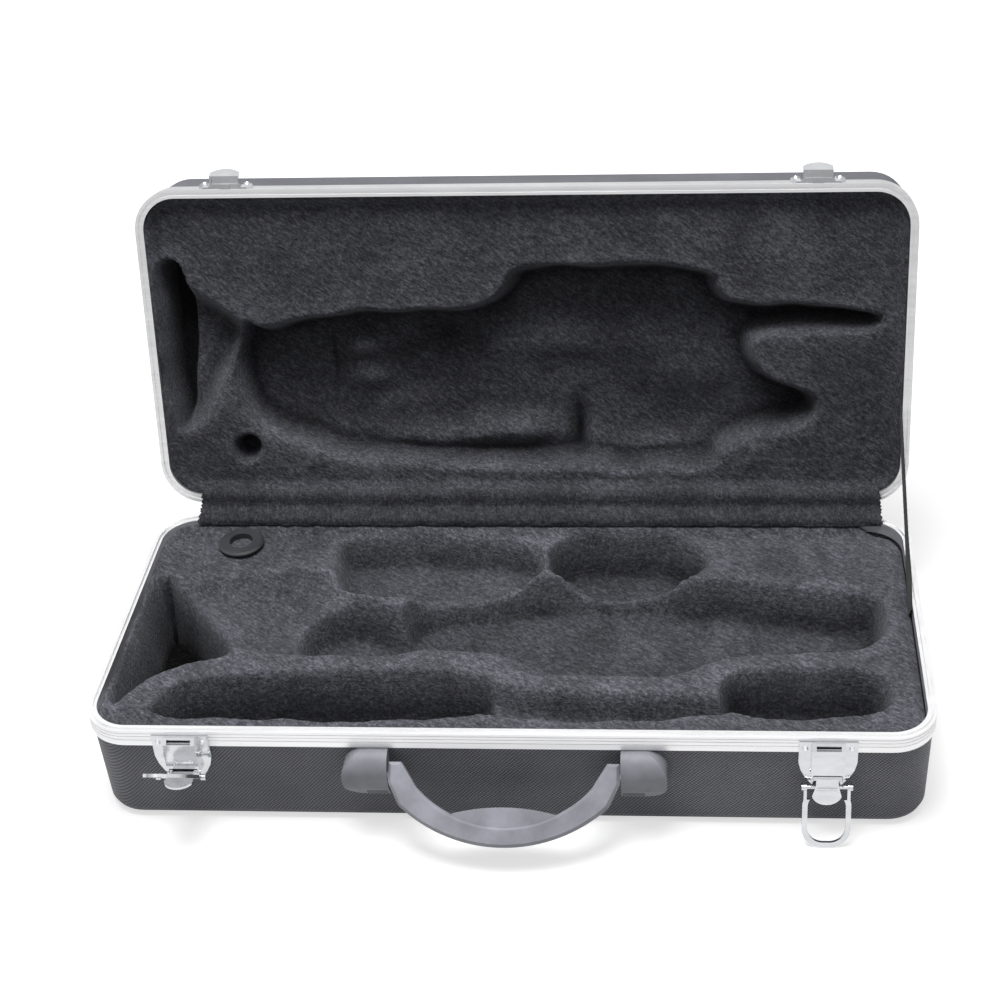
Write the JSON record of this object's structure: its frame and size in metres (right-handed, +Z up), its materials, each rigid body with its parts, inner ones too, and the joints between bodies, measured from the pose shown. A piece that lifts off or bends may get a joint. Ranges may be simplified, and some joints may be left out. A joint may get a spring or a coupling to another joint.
{
  "type": "trumpet case",
  "caption": "Hard-shell trumpet case with aluminium edge trim, plush fitted liners, hinged lid with a stay tape, draw latches and a swinging carry handle.",
  "frame": {"origin": "centre of the raised panel under the base, on the surface it stands on", "axes": "+X along the width to the right as seen from the handle side, +Y from the handle side to the hinges, +Z up"},
  "size_m": [0.55, 0.3998, 0.3221],
  "materials": {
    "shell_plastic": "woven emboss, satin",
    "trim_aluminium": "satin extrusion",
    "plush": "short pile",
    "webbing": "flat woven tape",
    "holder_plastic": "moulded",
    "hinge_steel": "plated",
    "rivet_metal": "bright",
    "latch_chrome": "polished plate",
    "mount_plastic": "moulded",
    "grip_plastic": "moulded"
  },
  "bodies": {
    "base": {"base_shell": "shell_plastic", "base_valance": "trim_aluminium", "base_liner_edge": "plush", "base_liner_holder": "plush", "base_liner_bell": "plush", "base_liner_throat": "plush", "base_liner_front_left": "plush", "base_liner_middle": "plush", "base_liner_valve": "plush", "base_liner_right": "plush", "base_liner_front_right": "plush", "mouthpiece_holder": "holder_plastic", "hinge_leaves_base": "hinge_steel", "hinge_pins": "hinge_steel", "base_rivets": "rivet_metal", "latch_plate_left": "latch_chrome", "latch_plate_right": "latch_chrome", "lever_pins": "latch_chrome", "handle_mount_left": "mount_plastic", "handle_mount_right": "mount_plastic", "stay_strap": "webbing", "hinge_strip": "plush"},
    "lid": {"lid_shell": "shell_plastic", "lid_valance": "trim_aluminium", "lid_liner_bell": "plush", "lid_liner_corner": "plush", "lid_liner_middle": "plush", "lid_liner_valve": "plush", "lid_liner_right": "plush", "hinge_leaves_lid": "hinge_steel", "keeper_left": "latch_chrome", "keeper_right": "latch_chrome", "lid_rivets": "rivet_metal"},
    "handle": {"handle_grip": "grip_plastic"},
    "lever_left": {"latch_lever_left": "latch_chrome"},
    "lever_right": {"latch_lever_right": "latch_chrome"},
    "bail_left": {"latch_bail_left": "latch_chrome"},
    "bail_right": {"latch_bail_right": "latch_chrome"}
  },
  "joints": [
    {"name": "lid_hinge", "type": "hinge", "parent": "base", "child": "lid", "pos_m": [0, 0.1245, 0.078], "axis": [1, 0, 0], "range_deg": [0, 104], "deforming": ["stay_strap", "hinge_strip"]},
    {"name": "handle_pivot", "type": "hinge", "parent": "base", "child": "handle", "pos_m": [0, -0.1265, 0.051], "axis": [-1, 0, 0], "range_deg": [-38, 60]},
    {"name": "left_lever_pivot", "type": "hinge", "parent": "base", "child": "lever_left", "pos_m": [-0.208, -0.1225, 0.0495], "axis": [-1, 0, 0], "range_deg": [-100, 0]},
    {"name": "right_lever_pivot", "type": "hinge", "parent": "base", "child": "lever_right", "pos_m": [0.205, -0.1225, 0.0495], "axis": [-1, 0, 0], "range_deg": [0, 100]},
    {"name": "left_bail_pivot", "type": "hinge", "parent": "lever_left", "child": "bail_left", "pos_m": [-0.208, -0.12978, 0.05139], "axis": [1, 0, 0], "range_deg": [-40, 120]},
    {"name": "right_bail_pivot", "type": "hinge", "parent": "lever_right", "child": "bail_right", "pos_m": [0.205, -0.1231, 0.042], "axis": [1, 0, 0], "range_deg": [-160, 0]}
  ]
}
